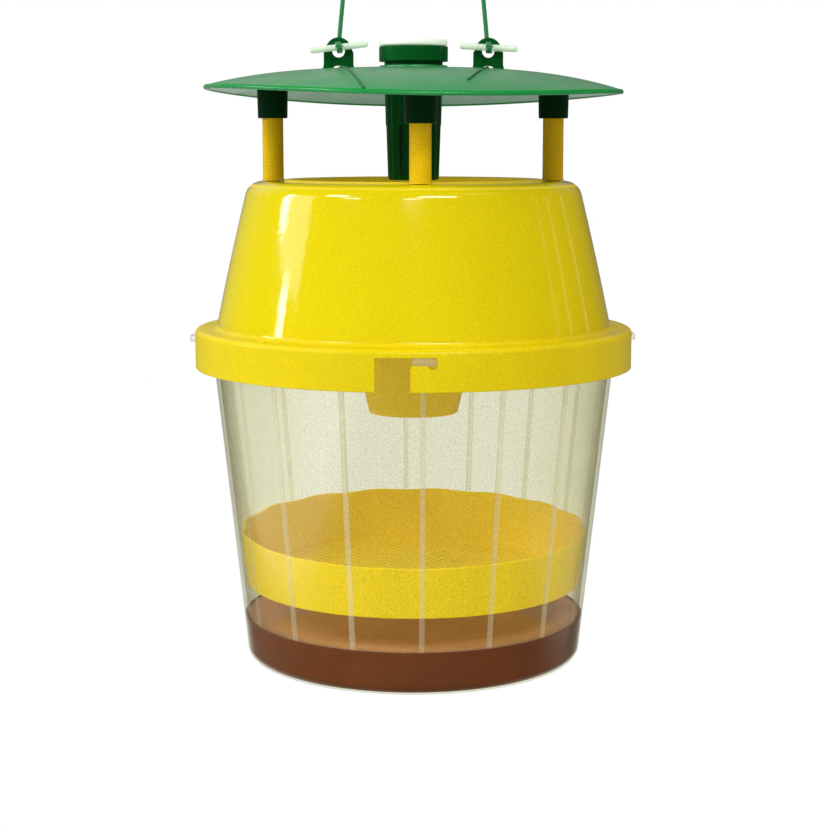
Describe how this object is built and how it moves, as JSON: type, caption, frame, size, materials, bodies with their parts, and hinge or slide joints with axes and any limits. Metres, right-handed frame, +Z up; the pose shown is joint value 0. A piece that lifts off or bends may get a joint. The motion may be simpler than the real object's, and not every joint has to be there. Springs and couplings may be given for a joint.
{
  "type": "pheromone insect trap",
  "caption": "Hanging funnel trap: domed roof on a cord loop, lure basket, hood with funnel on posts, and a clear bucket with a sieve over liquid bait.",
  "frame": {"origin": "where the cord loop bears on the branch or hook, at the inside of its top", "axes": "+Z up along the trap's axis, +X from one cord lug to the other, -Y towards the front post and the front bayonet"},
  "size_m": [0.1734, 0.1734, 0.2973],
  "materials": {
    "green_plastic": "smooth moulded polypropylene, bright green, fairly glossy",
    "dark_green_plastic": "smooth moulded polypropylene, dark green",
    "pale_plastic": "translucent natural polyethylene, faintly green",
    "lure_rubber": "matt red-brown rubber",
    "green_cord": "twisted polypropylene twine",
    "yellow_plastic": "glossy moulded polypropylene, slightly translucent",
    "post_yellow_plastic": "moulded plastic, a duller orange yellow",
    "clear_plastic": "clear moulded plastic with a faint beige tint",
    "brown_bait": "dark red-brown liquid with a flat, glossy surface"
  },
  "bodies": {
    "roof": {"roof": "green_plastic", "hanging_cord": "green_cord"},
    "toggle_left": {"toggle_left": "pale_plastic", "cord_knot_left": "green_cord"},
    "toggle_right": {"toggle_right": "pale_plastic", "cord_knot_right": "green_cord"},
    "basket": {"basket": "dark_green_plastic", "lure_septum": "lure_rubber"},
    "stopper": {"basket_stopper": "pale_plastic"},
    "hood": {"hood": "yellow_plastic", "funnel": "yellow_plastic", "post_front": "post_yellow_plastic", "post_right": "post_yellow_plastic", "post_back": "post_yellow_plastic", "post_left": "post_yellow_plastic"},
    "bucket": {"bucket": "clear_plastic", "bait_liquid": "brown_bait"},
    "sieve": {"sieve": "yellow_plastic"}
  },
  "joints": [
    {"name": "toggle_left_turn", "type": "hinge", "parent": "roof", "child": "toggle_left", "pos_m": [-0.02845, -0.00405, -0.059], "axis": [0, -1, 0], "range_deg": [-36.5, 23.5]},
    {"name": "toggle_right_turn", "type": "hinge", "parent": "roof", "child": "toggle_right", "pos_m": [0.02845, -0.00405, -0.059], "axis": [0, -1, 0], "range_deg": [-27, 33]},
    {"name": "basket_lift", "type": "slide", "parent": "roof", "child": "basket", "axis": [0, 0, 1], "range_m": [0, 0.043]},
    {"name": "stopper_lift", "type": "slide", "parent": "basket", "child": "stopper", "axis": [0, 0, 1], "range_m": [0, 0.006]},
    {"name": "hood_pull", "type": "slide", "parent": "roof", "child": "hood", "axis": [0, 0, -1], "range_m": [0, 0.03]},
    {"name": "bucket_twist", "type": "hinge", "parent": "hood", "child": "bucket", "pos_m": [0, 0, -0.17], "axis": [0, 0, 1], "range_deg": [-8.5, 0]},
    {"name": "sieve_lift", "type": "slide", "parent": "bucket", "child": "sieve", "axis": [0, 0, 1], "range_m": [0, 0.05]}
  ]
}
